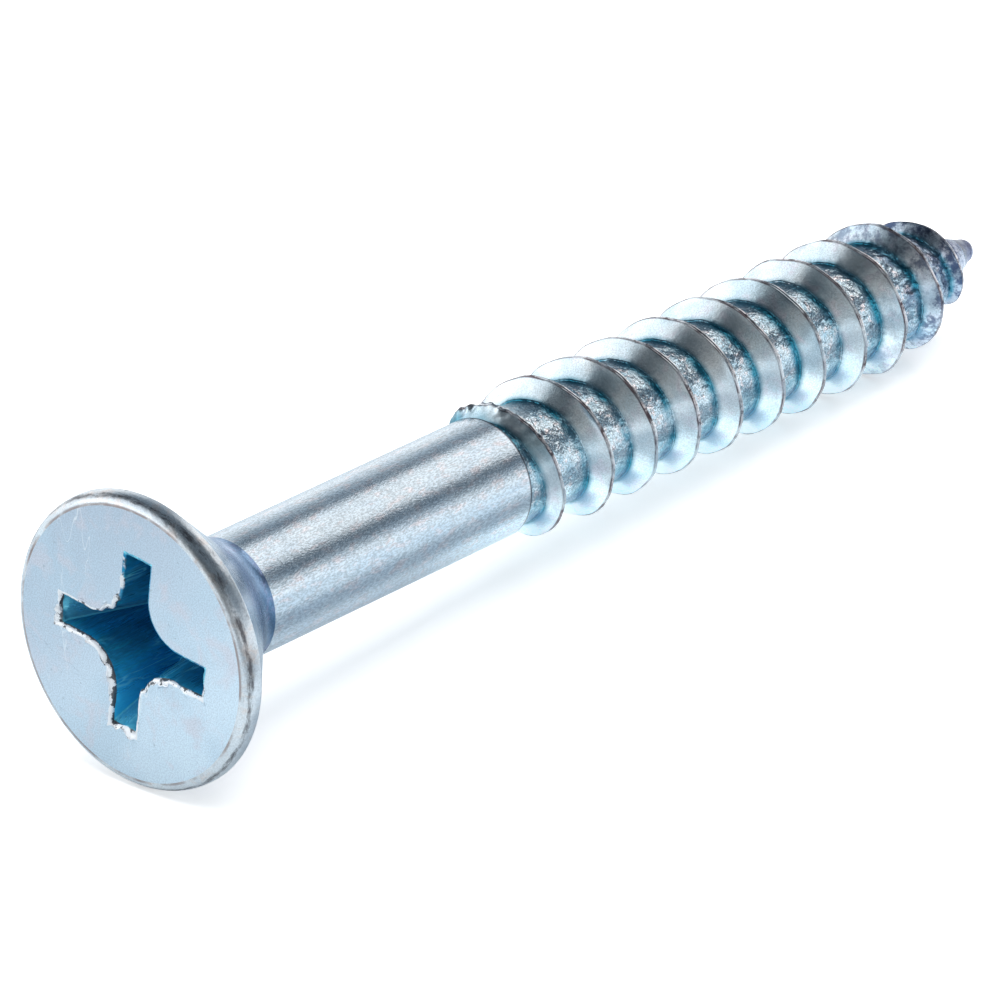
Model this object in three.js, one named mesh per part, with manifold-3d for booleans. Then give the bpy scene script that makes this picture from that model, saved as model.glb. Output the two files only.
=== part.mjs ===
import * as THREE from 'three';
import { ParametricGeometry } from 'three/addons/geometries/ParametricGeometry.js';
import { mergeGeometries, mergeVertices } from 'three/addons/utils/BufferGeometryUtils.js';
import Module from 'manifold-3d';

// Countersunk wood screw with a cross recess, one piece of plated steel.
// Millimetres, +Z up. The axis lies on X, the point towards +X, and the origin is the centre of the
// head's flat face.

// Driving dimensions
const screwLength = 44.45;
const headDiameter = 10.2;
const shankDiameter = 4.28;
const shankEnd = 17.5;
const headConeAngle = 82;
const rimRoundLength = 0.5;
const rimRoundWidth = 0.38;
const rimLand = 0.15;
const neckFilletLength = 0.5;

const threadPitch = 2.31;
const threadDiameter = 5.3;
const rootDiameter = 3.94;
const crestWidth = 0.07;
const flankWidth = 0.5;
const threadStartAngle = -10;
const threadStartGap = 0.1;
const threadRiseTurns = 0.25;
const crestTaperLength = 6;
const rootTaperLength = 4.2;
const tipDiameter = 0.92;
const tipRoundLength = 0.5;
const nubDiameter = 1.38;
const nubLength = 1.1;

const recessWidth = 6.3;
const recessWingThickness = 1.06;
const recessFilletRadius = 1.5;
const recessDepth = 2.95;
const recessBottomWidth = 3.9;
const recessBottomThickness = 0.8;
const recessBottomFilletRadius = 0.9;
const recessConeDepth = 0.95;
const recessTurn = 7.5;
const cutterClearance = 0.5;

// How finely the round surfaces are divided
const sidesPerTurn = 32;
const filletSteps = 5;

const radians = Math.PI / 180;
const origin = new THREE.Vector2(0, 0);
const wasm = await Module();
wasm.setup();

// --- Meshes and solids -------------------------------------------------------------------------

function withoutEmptyTriangles(geometry) {
  const index = Array.from(geometry.index.array);
  const kept = [];
  for (let i = 0; i < index.length; i += 3) {
    const [a, b, c] = index.slice(i, i + 3);
    if (a !== b && b !== c && c !== a) {
      kept.push(a, b, c);
    }
  }
  geometry.setIndex(kept);
  return geometry;
}

function positionsOnly(geometry) {
  const plain = geometry.index ? geometry.clone() : mergeVertices(geometry);
  plain.deleteAttribute('normal');
  plain.deleteAttribute('uv');
  return plain;
}

function solidFrom(geometries) {
  const joined = mergeVertices(mergeGeometries(geometries.map(positionsOnly)), 1e-4);
  const merged = withoutEmptyTriangles(joined);
  return new wasm.Manifold(new wasm.Mesh({
    numProp: 3,
    vertProperties: new Float32Array(merged.attributes.position.array),
    triVerts: new Uint32Array(merged.index.array),
  }));
}

function geometryFrom(solid) {
  const mesh = solid.getMesh();
  const geometry = new THREE.BufferGeometry();
  geometry.setAttribute('position', new THREE.BufferAttribute(mesh.vertProperties, 3));
  geometry.setIndex(new THREE.BufferAttribute(mesh.triVerts, 1));
  geometry.computeVertexNormals();
  return geometry;
}

// A surface of revolution about X. Profile points are (radius, x).
function turned(profile) {
  const geometry = new THREE.LatheGeometry(profile, sidesPerTurn, Math.PI / sidesPerTurn);
  geometry.rotateZ(-Math.PI / 2);
  return geometry;
}

// --- Turned part: head and shank ---------------------------------------------------------------

const headRadius = headDiameter / 2;
const shankRadius = shankDiameter / 2;
const rootRadius = rootDiameter / 2;
const nubRadius = nubDiameter / 2;
const nubStart = screwLength - nubLength;
const coneSlope = Math.tan(headConeAngle * radians / 2);
const rimBottom = rimRoundLength + rimLand;
const coneEnd = rimBottom + (headRadius - shankRadius) / coneSlope;

// A quarter turn from one direction to the other, centre and radii given
function roundedCorner(centreRadius, centreX, radialSize, axialSize, startAngle) {
  return Array.from({ length: filletSteps + 1 }, (_, step) => {
    const angle = startAngle + step / filletSteps * Math.PI / 2;
    return new THREE.Vector2(
      centreRadius + radialSize * Math.sin(angle),
      centreX - axialSize * Math.cos(angle),
    );
  });
}

// The cone runs into the shank through a short curve that is tangent to both
function neckCurve() {
  const start = new THREE.Vector2(shankRadius + neckFilletLength * coneSlope, coneEnd - neckFilletLength);
  const corner = new THREE.Vector2(shankRadius, coneEnd);
  const end = new THREE.Vector2(shankRadius, coneEnd + neckFilletLength);
  return new THREE.QuadraticBezierCurve(start, corner, end).getPoints(filletSteps);
}

function headAndShank() {
  return turned([
    new THREE.Vector2(0, 0),
    ...roundedCorner(headRadius - rimRoundWidth, rimRoundLength, rimRoundWidth, rimRoundLength, 0),
    new THREE.Vector2(headRadius, rimBottom),
    ...neckCurve(),
    new THREE.Vector2(shankRadius, shankEnd),
    new THREE.Vector2(rootRadius, shankEnd),
  ]);
}

// --- Thread ------------------------------------------------------------------------------------

const crestTaperPower = 2.55;
const rootTaperPower = 1.4;
const turnStep = 1 / sidesPerTurn;
const smallestStep = threadPitch * turnStep / 4;
const stripStartTurns = -1.5;
const stripStations = Math.ceil(((nubStart - shankEnd) / threadPitch + 3.5) * sidesPerTurn);
const stripRows = 5;

// 1 along the parallel part, falling to 0 where the nub starts
function taper(x, length, power) {
  const along = THREE.MathUtils.clamp((nubStart - x) / length, 0, 1);
  return 1 - (1 - along) ** power;
}

function rootRadiusAt(x) {
  return THREE.MathUtils.lerp(nubRadius, rootRadius, taper(x, rootTaperLength, rootTaperPower));
}

function crestRadiusAt(x) {
  return THREE.MathUtils.lerp(nubRadius, threadDiameter / 2, taper(x, crestTaperLength, crestTaperPower));
}

// Share of the full thread height at a station, counted in turns from the start of the ridge
function ridgeHeight(turnsFromStart, x) {
  const rise = THREE.MathUtils.smoothstep(turnsFromStart, 0, threadRiseTurns);
  const fullHeight = threadDiameter / 2 - rootRadius;
  return rise * Math.max(0, crestRadiusAt(x) - rootRadiusAt(x)) / fullHeight;
}

// Distance along X and height, from 0 on the root to 1 on the crest, of each row of the thread's
// section: two edges of the crest, the foot of the flank behind it, the middle of the root and the
// foot of the next flank. The last row is the first row of the next turn.
function sectionRow(row, height, nextHeight) {
  const foot = crestWidth / 2 + flankWidth * height;
  const nextFoot = threadPitch - crestWidth / 2 - flankWidth * nextHeight;
  return [
    [-foot, 0],
    [-crestWidth / 2, height],
    [crestWidth / 2, height],
    [foot, 0],
    [(foot + nextFoot) / 2, 0],
    [nextFoot, 0],
  ][row];
}

// The strip winds once round the axis per pitch. Rows that reach past its ends stop at the shank's
// end face and at the nub, where they close to a plain ring.
function threadStrip(u, v, target) {
  const firstSide = Math.round(stripStartTurns * sidesPerTurn);
  const side = firstSide + Math.round(u * stripStations);
  const angle = (side + 0.5) * turnStep * 2 * Math.PI;
  const turns = (side + 0.5) * turnStep - threadStartAngle / 360;
  const crestX = shankEnd + threadStartGap + threadPitch * turns;
  const height = ridgeHeight(turns, crestX);
  const nextHeight = ridgeHeight(turns + 1, crestX + threadPitch);
  const [offset, rise] = sectionRow(Math.round(v * stripRows), height, nextHeight);
  const x = Math.min(Math.max(crestX + offset, shankEnd), nubStart);
  const atStart = x < shankEnd + smallestStep;
  const atEnd = x > nubStart - smallestStep;
  const radius = rootRadiusAt(x) + (atStart || atEnd ? 0 : rise * (threadDiameter / 2 - rootRadius));
  const stationX = atStart ? shankEnd : atEnd ? nubStart : x;
  target.set(stationX, radius * Math.cos(angle), radius * Math.sin(angle));
}

function thread() {
  return new ParametricGeometry(threadStrip, stripStations, stripRows);
}

// --- Point -------------------------------------------------------------------------------------

function nub() {
  const tipRadius = tipDiameter / 2;
  const roundStart = screwLength - tipRoundLength;
  return turned([
    new THREE.Vector2(nubRadius, nubStart),
    ...roundedCorner(0, roundStart, tipRadius, tipRoundLength, Math.PI / 2),
  ]);
}

// --- Cross recess ------------------------------------------------------------------------------

// Four wings with square ends. A round fillet joins each wing's side to the next wing's side.
function crossOutline(width, thickness, filletRadius) {
  const halfWidth = width / 2;
  const halfThickness = thickness / 2;
  const outline = [];
  for (let wing = 0; wing < 4; wing += 1) {
    const turn = wing * Math.PI / 2;
    const corner = new THREE.Vector2(halfThickness + filletRadius, halfThickness + filletRadius);
    outline.push(new THREE.Vector2(halfWidth, -halfThickness).rotateAround(origin, turn));
    outline.push(new THREE.Vector2(halfWidth, halfThickness).rotateAround(origin, turn));
    for (let step = 0; step <= filletSteps; step += 1) {
      const angle = -Math.PI / 2 - step / filletSteps * Math.PI / 2;
      const point = new THREE.Vector2(
        corner.x + filletRadius * Math.cos(angle),
        corner.y + filletRadius * Math.sin(angle),
      );
      outline.push(point.rotateAround(origin, turn));
    }
  }
  return outline;
}

// The cutter starts above the face, with the walls' slope carried on, and ends in a shallow cone
function recessCutter() {
  const atDepth = (depth, top, bottom) => THREE.MathUtils.mapLinear(depth, 0, recessDepth, top, bottom);
  const outlineAt = (depth) => crossOutline(
    atDepth(depth, recessWidth, recessBottomWidth),
    atDepth(depth, recessWingThickness, recessBottomThickness),
    atDepth(depth, recessFilletRadius, recessBottomFilletRadius),
  );
  const levels = [
    { x: -cutterClearance, outline: null },
    { x: -cutterClearance, outline: outlineAt(-cutterClearance) },
    { x: recessDepth, outline: outlineAt(recessDepth) },
    { x: recessDepth + recessConeDepth, outline: null },
  ];
  const pointCount = levels[1].outline.length;
  const surface = (u, v, target) => {
    const { x, outline } = levels[Math.round(v * (levels.length - 1))];
    const point = outline ? outline[Math.round(u * pointCount) % pointCount] : origin;
    target.set(x, point.x, point.y);
  };
  const cutter = new ParametricGeometry(surface, pointCount, levels.length - 1);
  cutter.rotateX(recessTurn * radians);
  return cutter;
}

// --- Assembly ----------------------------------------------------------------------------------

const platedSteel = new THREE.MeshStandardMaterial({ color: 0xb9c9d6, roughness: 0.32, metalness: 0.9 });

const blank = solidFrom([headAndShank(), thread(), nub()]);
const recess = solidFrom([recessCutter()]);
const screwBody = new THREE.Mesh(geometryFrom(blank.subtract(recess)), platedSteel);
screwBody.name = 'screw_body';

const screw = new THREE.Group();
screw.add(screwBody);

export default screw;
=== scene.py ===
import math
import bpy
import numpy as np
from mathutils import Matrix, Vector


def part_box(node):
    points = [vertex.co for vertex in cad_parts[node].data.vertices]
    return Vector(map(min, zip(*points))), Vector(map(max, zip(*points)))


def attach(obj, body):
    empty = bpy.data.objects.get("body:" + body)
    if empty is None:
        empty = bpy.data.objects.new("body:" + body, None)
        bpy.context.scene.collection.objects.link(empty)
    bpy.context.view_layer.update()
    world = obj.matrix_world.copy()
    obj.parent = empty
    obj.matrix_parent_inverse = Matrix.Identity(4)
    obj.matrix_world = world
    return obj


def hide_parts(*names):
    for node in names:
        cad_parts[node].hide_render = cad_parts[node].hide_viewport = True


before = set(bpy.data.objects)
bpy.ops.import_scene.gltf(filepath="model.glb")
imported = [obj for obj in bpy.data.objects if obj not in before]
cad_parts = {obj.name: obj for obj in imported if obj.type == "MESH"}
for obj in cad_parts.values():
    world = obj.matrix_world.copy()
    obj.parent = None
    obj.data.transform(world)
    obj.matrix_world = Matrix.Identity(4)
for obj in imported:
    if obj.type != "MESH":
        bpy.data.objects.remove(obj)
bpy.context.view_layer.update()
print("frame loaded")

# Lengths below are millimetres until the mesh is made, angles are degrees.
mm = 0.001
columns = 192  # columns of the grid in one turn round the axis
farAway = 9  # the gap given to a point that has no such edge near it

# each zone of the surface has its own material, and each kind of wear its own random waves
zones = ("recess", "face", "rim", "neck", "shank", "thread", "nub")
seeds = {"galling": (3, 4), "crest": (5, 6), "startLip": (7, 8), "torn": (11, 12)}

bodyUser = {
    "shankDiameter": 4.28,
    "shankEnd": 17.5,
    "coneAngle": 82,
    "rimRound": 0.5,
    "rimWidth": 0.38,
    "rimLand": 0.12,
    "rimUnderRound": 0.1,
    "neckFillet": 0.55,
    "shankEdge": 0.03,
    "cadSides": 32,  # sides of the prism that stands for the round head in the CAD model
    "sharpAngle": 38,
}

recessUser = {
    "width": 6.3,
    "thickness": 1.06,
    "fillet": 1.5,
    "depth": 2.95,
    "bottomWidth": 3.9,
    "bottomThickness": 0.8,
    "bottomFillet": 0.9,
    "coneDepth": 0.95,
    "turn": 7.5,
    "edgeRound": 0.09,
    "burrHeight": 0.06,
    "ragged": 0.055,
    "tornWaves": (0.5, 0.2),
    "worstSide": -45,
}

threadUser = {
    "pitch": 2.31,
    "diameter": 5.3,
    "rootDiameter": 3.94,
    "flankWidth": 0.5,
    "flankHollow": 0.035,
    "crestWidth": 0.15,
    "crestGroove": 0.04,
    "startAngle": 24,
    "startGap": 0.345,
    "riseTurns": 0.09,
    "firstHeight": 0.72,
    "firstShift": 0.2,
    "crestTaper": 6.0,
    "rootTaper": 4.2,
    "galling": 0.02,
    "crestWander": 0.022,
    "startLip": 0.032,
    "gallingWaves": (0.7, 0.24),
    "crestWaves": (1.3, 1.8),
    "lipWaves": (0.35, 0.4),
}

tipUser = {
    "nubDiameter": 1.38,
    "nubLength": 1.1,
    "tipDiameter": 0.92,
    "roundLength": 0.5,
    "bend": 0.05,
}

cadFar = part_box("screw_body")[1]
screwLength = cadFar[0] / mm
headRadius = cadFar[1] / mm / math.cos(math.pi / bodyUser["cadSides"])
shankRadius = bodyUser["shankDiameter"] / 2
rootRadius = threadUser["rootDiameter"] / 2
crestRadius = threadUser["diameter"] / 2
nubRadius = tipUser["nubDiameter"] / 2
nubStart = screwLength - tipUser["nubLength"]


def smooth(value, start, end):
    # 0 before start, 1 after end, and an S curve between them
    t = np.clip((value - start) / (end - start), 0, 1)
    return t * t * (3 - 2 * t)


def waveNoise(points, wavelength, seed, waves=28):
    # sum of sine waves that run in random directions, about -1 to 1
    rng = np.random.default_rng(seed)
    direction = rng.normal(size=(waves, 3))
    direction /= np.linalg.norm(direction, axis=1, keepdims=True)
    pace = 2 * math.pi / (wavelength * rng.uniform(0.7, 1.5, waves))
    phase = rng.uniform(0, 2 * math.pi, waves)
    return np.sin(points @ (direction * pace[:, None]).T + phase).sum(1) / math.sqrt(waves)


def noisePair(points, wavelengths, pair):
    return [waveNoise(points, wavelength, seed) for wavelength, seed in zip(wavelengths, pair)]


def outwardsFrom(points):
    # the unit vector from the axis to each point
    radius = np.hypot(points[:, 1], points[:, 2])
    return points * [0, 1, 1] / np.maximum(radius, 1e-6)[:, None]


def columnAngles():
    # equal steps round the axis, from the middle of a wing of the recess
    return math.radians(recessUser["turn"]) + np.arange(columns) / columns * 2 * math.pi


def rings(profile):
    # each (x, radius) of the profile becomes one circle round the axis
    profile = np.asarray(profile, float)
    angle = columnAngles()
    x = np.repeat(profile[:, :1], columns, 1)
    y = profile[:, 1:] * np.cos(angle)
    z = profile[:, 1:] * np.sin(angle)
    return np.stack([x, y, z], -1)


def crossOutline(width, thickness, fillet):
    # one eighth of the outline is half a wing's end, its side, and half a round fillet. It is
    # mirrored, and the quarter is turned four times.
    endSteps, sideSteps = 5, 9
    filletSteps = columns // 8 - endSteps - sideSteps
    w, t = width / 2, thickness / 2
    end = np.stack([np.full(endSteps, w), np.arange(endSteps) / endSteps * t], 1)
    along = np.arange(sideSteps) / sideSteps
    side = np.stack([w + (t + fillet - w) * along, np.full(sideSteps, t)], 1)
    arc = -math.pi / 2 - np.arange(filletSteps + 1) / filletSteps * math.pi / 4
    hollow = (t + fillet) + fillet * np.stack([np.cos(arc), np.sin(arc)], 1)
    eighth = np.concatenate([end, side, hollow])
    quarter = np.concatenate([eighth, eighth[-2:0:-1, ::-1]])
    turns = np.arange(4) * math.pi / 2
    return np.concatenate([quarter @ turnMatrix(a) for a in turns])


def turnMatrix(angle):
    # row vectors times this matrix turn by the angle
    return np.array([[math.cos(angle), math.sin(angle)], [-math.sin(angle), math.cos(angle)]])


def recessRow(depth, grow=0.0, scale=1.0):
    # the cross at one depth. grow moves its edge outwards, scale shrinks it towards the axis
    r = recessUser
    t = min(depth, r["depth"]) / r["depth"]
    outline = crossOutline(
        r["width"] + (r["bottomWidth"] - r["width"]) * t + 2 * grow,
        r["thickness"] + (r["bottomThickness"] - r["thickness"]) * t + 2 * grow,
        r["fillet"] + (r["bottomFillet"] - r["fillet"]) * t - grow,
    ) * scale
    outline = outline @ turnMatrix(math.radians(r["turn"]))
    return np.concatenate([np.full((columns, 1), depth), outline], 1)


def recessRows():
    # the rows, and how far each is from the recess's edge: below 0 inside it, above 0 on the face
    r = recessUser
    e = r["edgeRound"]
    coneScales = (0, 0.2, 0.4, 0.6, 0.8)
    bottom = [recessRow(r["depth"] + r["coneDepth"] * (1 - s), scale=s) for s in coneScales]
    depths = np.concatenate([np.linspace(r["depth"], 0.5, 14), [0.38, 0.28, 0.2, 0.14]])
    walls = [recessRow(depth) for depth in depths]
    turn = np.linspace(0, math.pi / 2, 6)
    edge = [recessRow(e * (1 - math.sin(a)), grow=e * (1 - math.cos(a))) for a in turn]
    gaps = np.concatenate([np.full(len(bottom), -r["depth"]), -depths, e * (turn / math.pi * 2 - 1)])
    return np.array(bottom + walls + edge), gaps


def faceRows():
    # rows that follow the recess's edge, then rows that blend from it to the face's round edge
    e = recessUser["edgeRound"]
    steps = np.array([0.02, 0.05, 0.09, 0.14, 0.2, 0.3])
    near = [recessRow(0, grow=e + step) for step in steps]
    outer = rings([(0, headRadius - bodyUser["rimWidth"])])[0]
    part = np.linspace(0, 1, 11)[1:]
    far = [near[-1] + (outer - near[-1]) * t for t in part]
    return np.array(near + far), np.concatenate([steps, steps[-1] + 1.5 * part])


def cornerMarks():
    # for each column, how far it is from a wing's corner, and whether it is on a wing's end
    r = recessUser
    outline = crossOutline(r["width"], r["thickness"], r["fillet"])
    u, v = np.abs(outline).max(1), np.abs(outline).min(1)
    gap = np.hypot(u - r["width"] / 2, v - r["thickness"] / 2)
    return gap, (u > r["width"] / 2 - 1e-9) * 1.0


def arcRows(centreX, centreRadius, sizeX, sizeRadius, start, end, steps):
    # part of an ellipse, from one angle to the other. 0 faces -X, 90 faces outwards
    a = np.radians(np.linspace(start, end, steps + 1))
    return np.stack([centreX - sizeX * np.cos(a), centreRadius + sizeRadius * np.sin(a)], 1)


def rimProfile():
    # a quarter of an ellipse from the face to the widest part, a short land, and a small round
    # edge where the cone starts
    b = bodyUser
    halfCone = b["coneAngle"] / 2
    corner = arcRows(b["rimRound"], headRadius - b["rimWidth"], b["rimRound"], b["rimWidth"], 0, 90, 12)
    small = b["rimUnderRound"]
    land = b["rimRound"] + b["rimLand"]
    under = arcRows(land, headRadius - small, small, small, 90, 180 - halfCone, 4)
    return np.concatenate([corner[1:], under])


def neckProfile(start):
    # a straight cone, and a quadratic curve from it to the shank: (1-t)^2 a + 2t(1-t) corner + t^2 c
    b = bodyUser
    slope = math.tan(math.radians(b["coneAngle"] / 2))
    coneEnd = start[0] + (start[1] - shankRadius) / slope
    f = b["neckFillet"]
    a = np.array([coneEnd - f, shankRadius + f * slope])
    corner = np.array([coneEnd, shankRadius])
    c = np.array([coneEnd + f, shankRadius])
    t = np.linspace(0, 1, 9)[:, None]
    curve = (1 - t) ** 2 * a + 2 * t * (1 - t) * corner + t ** 2 * c
    cone = start + (a - start) * np.linspace(0, 1, 9)[1:-1, None]
    return np.concatenate([cone, curve])


def shankProfile(start):
    # a straight line, a small round edge, and a step down to the thread's root
    end = bodyUser["shankEnd"]
    e = bodyUser["shankEdge"]
    along = np.linspace(start, end - 3 * e, 26)[1:]
    straight = np.stack([along, np.full(len(along), shankRadius)], 1)
    edge = arcRows(end - e, shankRadius - e, e, e, 90, 180, 4)
    return np.concatenate([straight, edge, [(end, rootRadius)]])


def nubProfile():
    # a slim cone that ends in a quarter of an ellipse
    t = tipUser
    roundStart = screwLength - t["roundLength"]
    x = np.linspace(nubStart, roundStart, 7)[1:]
    side = np.stack([x, np.linspace(nubRadius, t["tipDiameter"] / 2, 7)[1:]], 1)
    cap = arcRows(roundStart, 0, t["roundLength"], t["tipDiameter"] / 2, 90, 180, 8)[1:]
    return np.concatenate([[(nubStart, nubRadius)], side, cap])


def taper(x, length, power):
    # 1 along the parallel part, falling to 0 where the nub starts
    return 1 - (1 - np.clip((nubStart - x) / length, 0, 1)) ** power


def rootAt(x):
    # radius of the thread's root. crestAt gives the crest's, which narrows later and faster
    return nubRadius + (rootRadius - nubRadius) * taper(x, threadUser["rootTaper"], 1.4)


def crestAt(x):
    return nubRadius + (crestRadius - nubRadius) * taper(x, threadUser["crestTaper"], 2.55)


flankSteps = (0, 0.06, 0.25, 0.5, 0.75, 0.92)
crestSteps = (-1, -0.5, 0, 0.5, 1)
rootSteps = (0.04, 0.12, 0.24, 0.37, 0.5, 0.63, 0.76, 0.88, 0.96, 1)


def threadGrid():
    # one strip winds round the axis. Its section goes from the foot of a flank over the crest and
    # across the root to the foot of the next flank, and its last row is the next turn's first.
    t = threadUser
    turns = (nubStart - bodyUser["shankEnd"]) / t["pitch"] + 4
    station = np.arange(int(turns * columns)) - 2 * columns
    angle = math.radians(recessUser["turn"]) + station / columns * 2 * math.pi
    along = (np.degrees(angle) - t["startAngle"]) / 360
    crestX = bodyUser["shankEnd"] + t["startGap"] + t["pitch"] * along

    def ridge(turn, x):
        # the first turn starts abruptly and stays lower than the rest
        first = t["firstHeight"] + (1 - t["firstHeight"]) * smooth(turn, 0.45, 0.7)
        rise = smooth(turn, 0, t["riseTurns"]) * first
        return rise * np.maximum(0, crestAt(x) - rootAt(x)) / (crestRadius - rootRadius)

    height = ridge(along, crestX)
    nextHeight = ridge(along + 1, crestX + t["pitch"])
    shift = -t["firstShift"] * (1 - smooth(along, 0.3, 0.6))
    nextShift = -t["firstShift"] * (1 - smooth(along + 1, 0.3, 0.6))
    half = t["crestWidth"] / 2
    foot = half + t["flankWidth"] * height
    nextFoot = half + t["flankWidth"] * nextHeight
    flat = np.ones(len(foot))
    rows = []
    for s in flankSteps:
        hollow = s * (1 - s) * t["flankHollow"] * 4
        rows.append((shift - foot + (foot - half) * s, height * (s - hollow), -flat))
    for s in crestSteps:
        rows.append((shift + s * half, height * flat, s * flat))
    for s in reversed(flankSteps):
        rows.append((shift + half + (foot - half) * (1 - s), height * s, flat))
    for s in rootSteps:
        start, end = shift + foot, t["pitch"] + nextShift - nextFoot
        rows.append((start + (end - start) * s, 0 * flat, 2 * flat))
    offset, rise, side = (np.stack(part) for part in zip(*rows))
    x = crestX + offset
    snap = t["pitch"] / columns / 4
    start, end = bodyUser["shankEnd"], nubStart
    inside = (x > start + snap) & (x < end - snap)
    x = np.where(x <= start + snap, start, np.where(x >= end - snap, end, x))
    radius = rootAt(x) + np.where(inside, rise * (crestRadius - rootRadius), 0)
    points = np.stack([x, radius * np.cos(angle), radius * np.sin(angle)], -1)
    full = np.maximum(height, 0.05)
    ownFeet = np.minimum(np.abs(offset - shift + foot), np.abs(offset - shift - foot))
    beforeNext = np.abs(t["pitch"] + nextShift - nextFoot - offset)
    values = {
        "rise": rise * inside / full,  # 0 on the root, 1 on the crest
        "side": side,  # -1 on the flank that faces the head, 1 on the other, 2 on the root
        "turns": np.broadcast_to(along, x.shape),  # turns since the start of the thread
        "footGap": np.minimum(ownFeet, beforeNext),
        "beforeNext": np.where(side > 1.5, beforeNext, farAway),
    }
    return points, values


def gridTriangles(rowCount, columnCount, closed):
    # two triangles for each cell of the grid. A closed grid joins its last column to its first
    index = np.arange(rowCount * columnCount).reshape(rowCount, columnCount)
    if closed:
        index = np.concatenate([index, index[:, :1]], 1)
    a, b, c, d = index[:-1, :-1], index[:-1, 1:], index[1:, 1:], index[1:, :-1]
    return np.stack([np.stack([a, b, c], -1), np.stack([a, c, d], -1)], 2).reshape(-1, 3)


def screwSurface():
    # three grids, end to end: the turned body, the wound strip, and the nub. Where they meet they
    # have equal points. Returns points, triangles, each triangle's zone and the points' values
    recess, recessGap = recessRows()
    face, faceGap = faceRows()
    rim = rimProfile()
    neck = neckProfile(rim[-1])
    shank = shankProfile(neck[-1][0])
    bands = [recess, face, rings(rim), rings(neck), rings(shank)]
    turned = np.concatenate(bands)
    zone = np.concatenate([np.full(len(band), number) for number, band in enumerate(bands)])
    bodyFaces = gridTriangles(len(turned), columns, True)
    bodyZone = np.repeat(zone[1:], 2 * columns)
    strip, stripValues = threadGrid()
    stripFaces = gridTriangles(strip.shape[0], strip.shape[1], False)
    nub = rings(nubProfile())
    nubFaces = gridTriangles(len(nub), columns, True)
    counts = np.cumsum([turned.size // 3, strip.size // 3])
    points = np.concatenate([part.reshape(-1, 3) for part in (turned, strip, nub)])
    faces = np.concatenate([bodyFaces, stripFaces + counts[0], nubFaces + counts[1]])
    stripZone = np.full(len(stripFaces), zones.index("thread"))
    faceZone = np.concatenate([bodyZone, stripZone, np.full(len(nubFaces), zones.index("nub"))])
    values = {}
    for name, part in stripValues.items():
        values[name] = np.zeros(len(points))
        values[name][counts[0]:counts[1]] = part.reshape(-1)
    edgeGap = np.full((len(turned), 1), float(farAway))
    edgeGap[:len(recess) + len(face), 0] = np.concatenate([recessGap, faceGap])
    cornerGap, wingEnd = cornerMarks()
    rimTurn = np.zeros((len(turned), 1))
    rimTurn[zone == zones.index("rim"), 0] = np.linspace(0, 1, len(rim) + 1)[1:]
    marks = {
        "edgeGap": edgeGap,
        "cornerGap": cornerGap[None],
        "wingEnd": wingEnd[None],
        "rimTurn": rimTurn,
    }
    for name, part in marks.items():
        values[name] = np.zeros(len(points))
        values[name][:counts[0]] = np.broadcast_to(part, turned.shape[:2]).reshape(-1)
    values["edgeGap"][counts[0]:] = farAway
    return points, faces, faceZone, values


def mergeDoubles(points, faces, faceZone, values):
    # points closer than a ten-thousandth of a millimetre become one, and empty triangles go
    cells = np.round(points * 1e4).astype(np.int64)
    _, first, back = np.unique(cells, axis=0, return_index=True, return_inverse=True)
    faces = back.reshape(-1)[faces]
    a, b, c = faces.T
    keep = (a != b) & (b != c) & (c != a)
    return points[first], faces[keep], faceZone[keep], {k: v[first] for k, v in values.items()}


def roughen(points, values):
    # the rolled thread has a galled root, a grooved crest that wanders, and a ragged first lip. They
    # fade out at the ends, the galling grows towards the point, and the nub is bent a little
    t = threadUser
    x = points[:, 0]
    begun = smooth(x, bodyUser["shankEnd"], bodyUser["shankEnd"] + 0.3)
    inThread = begun * (1 - smooth(x, nubStart - 0.6, nubStart))
    root = inThread * (1 - smooth(values["rise"], 0, 0.35)) * (0.8 + 1.5 * smooth(x, 34, 41))
    broad, fine = noisePair(points, t["gallingWaves"], seeds["galling"])
    galling = t["galling"] * root * (0.8 * broad + 0.5 * fine)
    onCrest = inThread * smooth(values["rise"], 0.85, 1)
    groove = -t["crestGroove"] * onCrest * (1 - smooth(np.abs(values["side"]), 0, 0.5))
    crestOut, crestAlong = noisePair(points, t["crestWaves"], seeds["crest"])
    lipOut, lipAlong = noisePair(points, t["lipWaves"], seeds["startLip"])
    back = -values["turns"]
    started = 0.35 * smooth(back, -0.5, -0.2) + 0.65 * smooth(back, -0.3, -0.12)
    started *= smooth(values["rise"], 0.2, 0.8) * inThread
    wander = t["crestWander"] * onCrest * crestOut + t["startLip"] * started * lipOut
    sway = 0.7 * t["crestWander"] * onCrest * crestAlong + t["startLip"] * started * lipAlong
    moved = points + outwardsFrom(points) * (galling + groove + wander)[:, None]
    moved[:, 0] += sway
    moved[:, 1:] += tipUser["bend"] * smooth(x, nubStart - 1, screwLength)[:, None] * [0.5, 0.8]
    return moved


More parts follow.
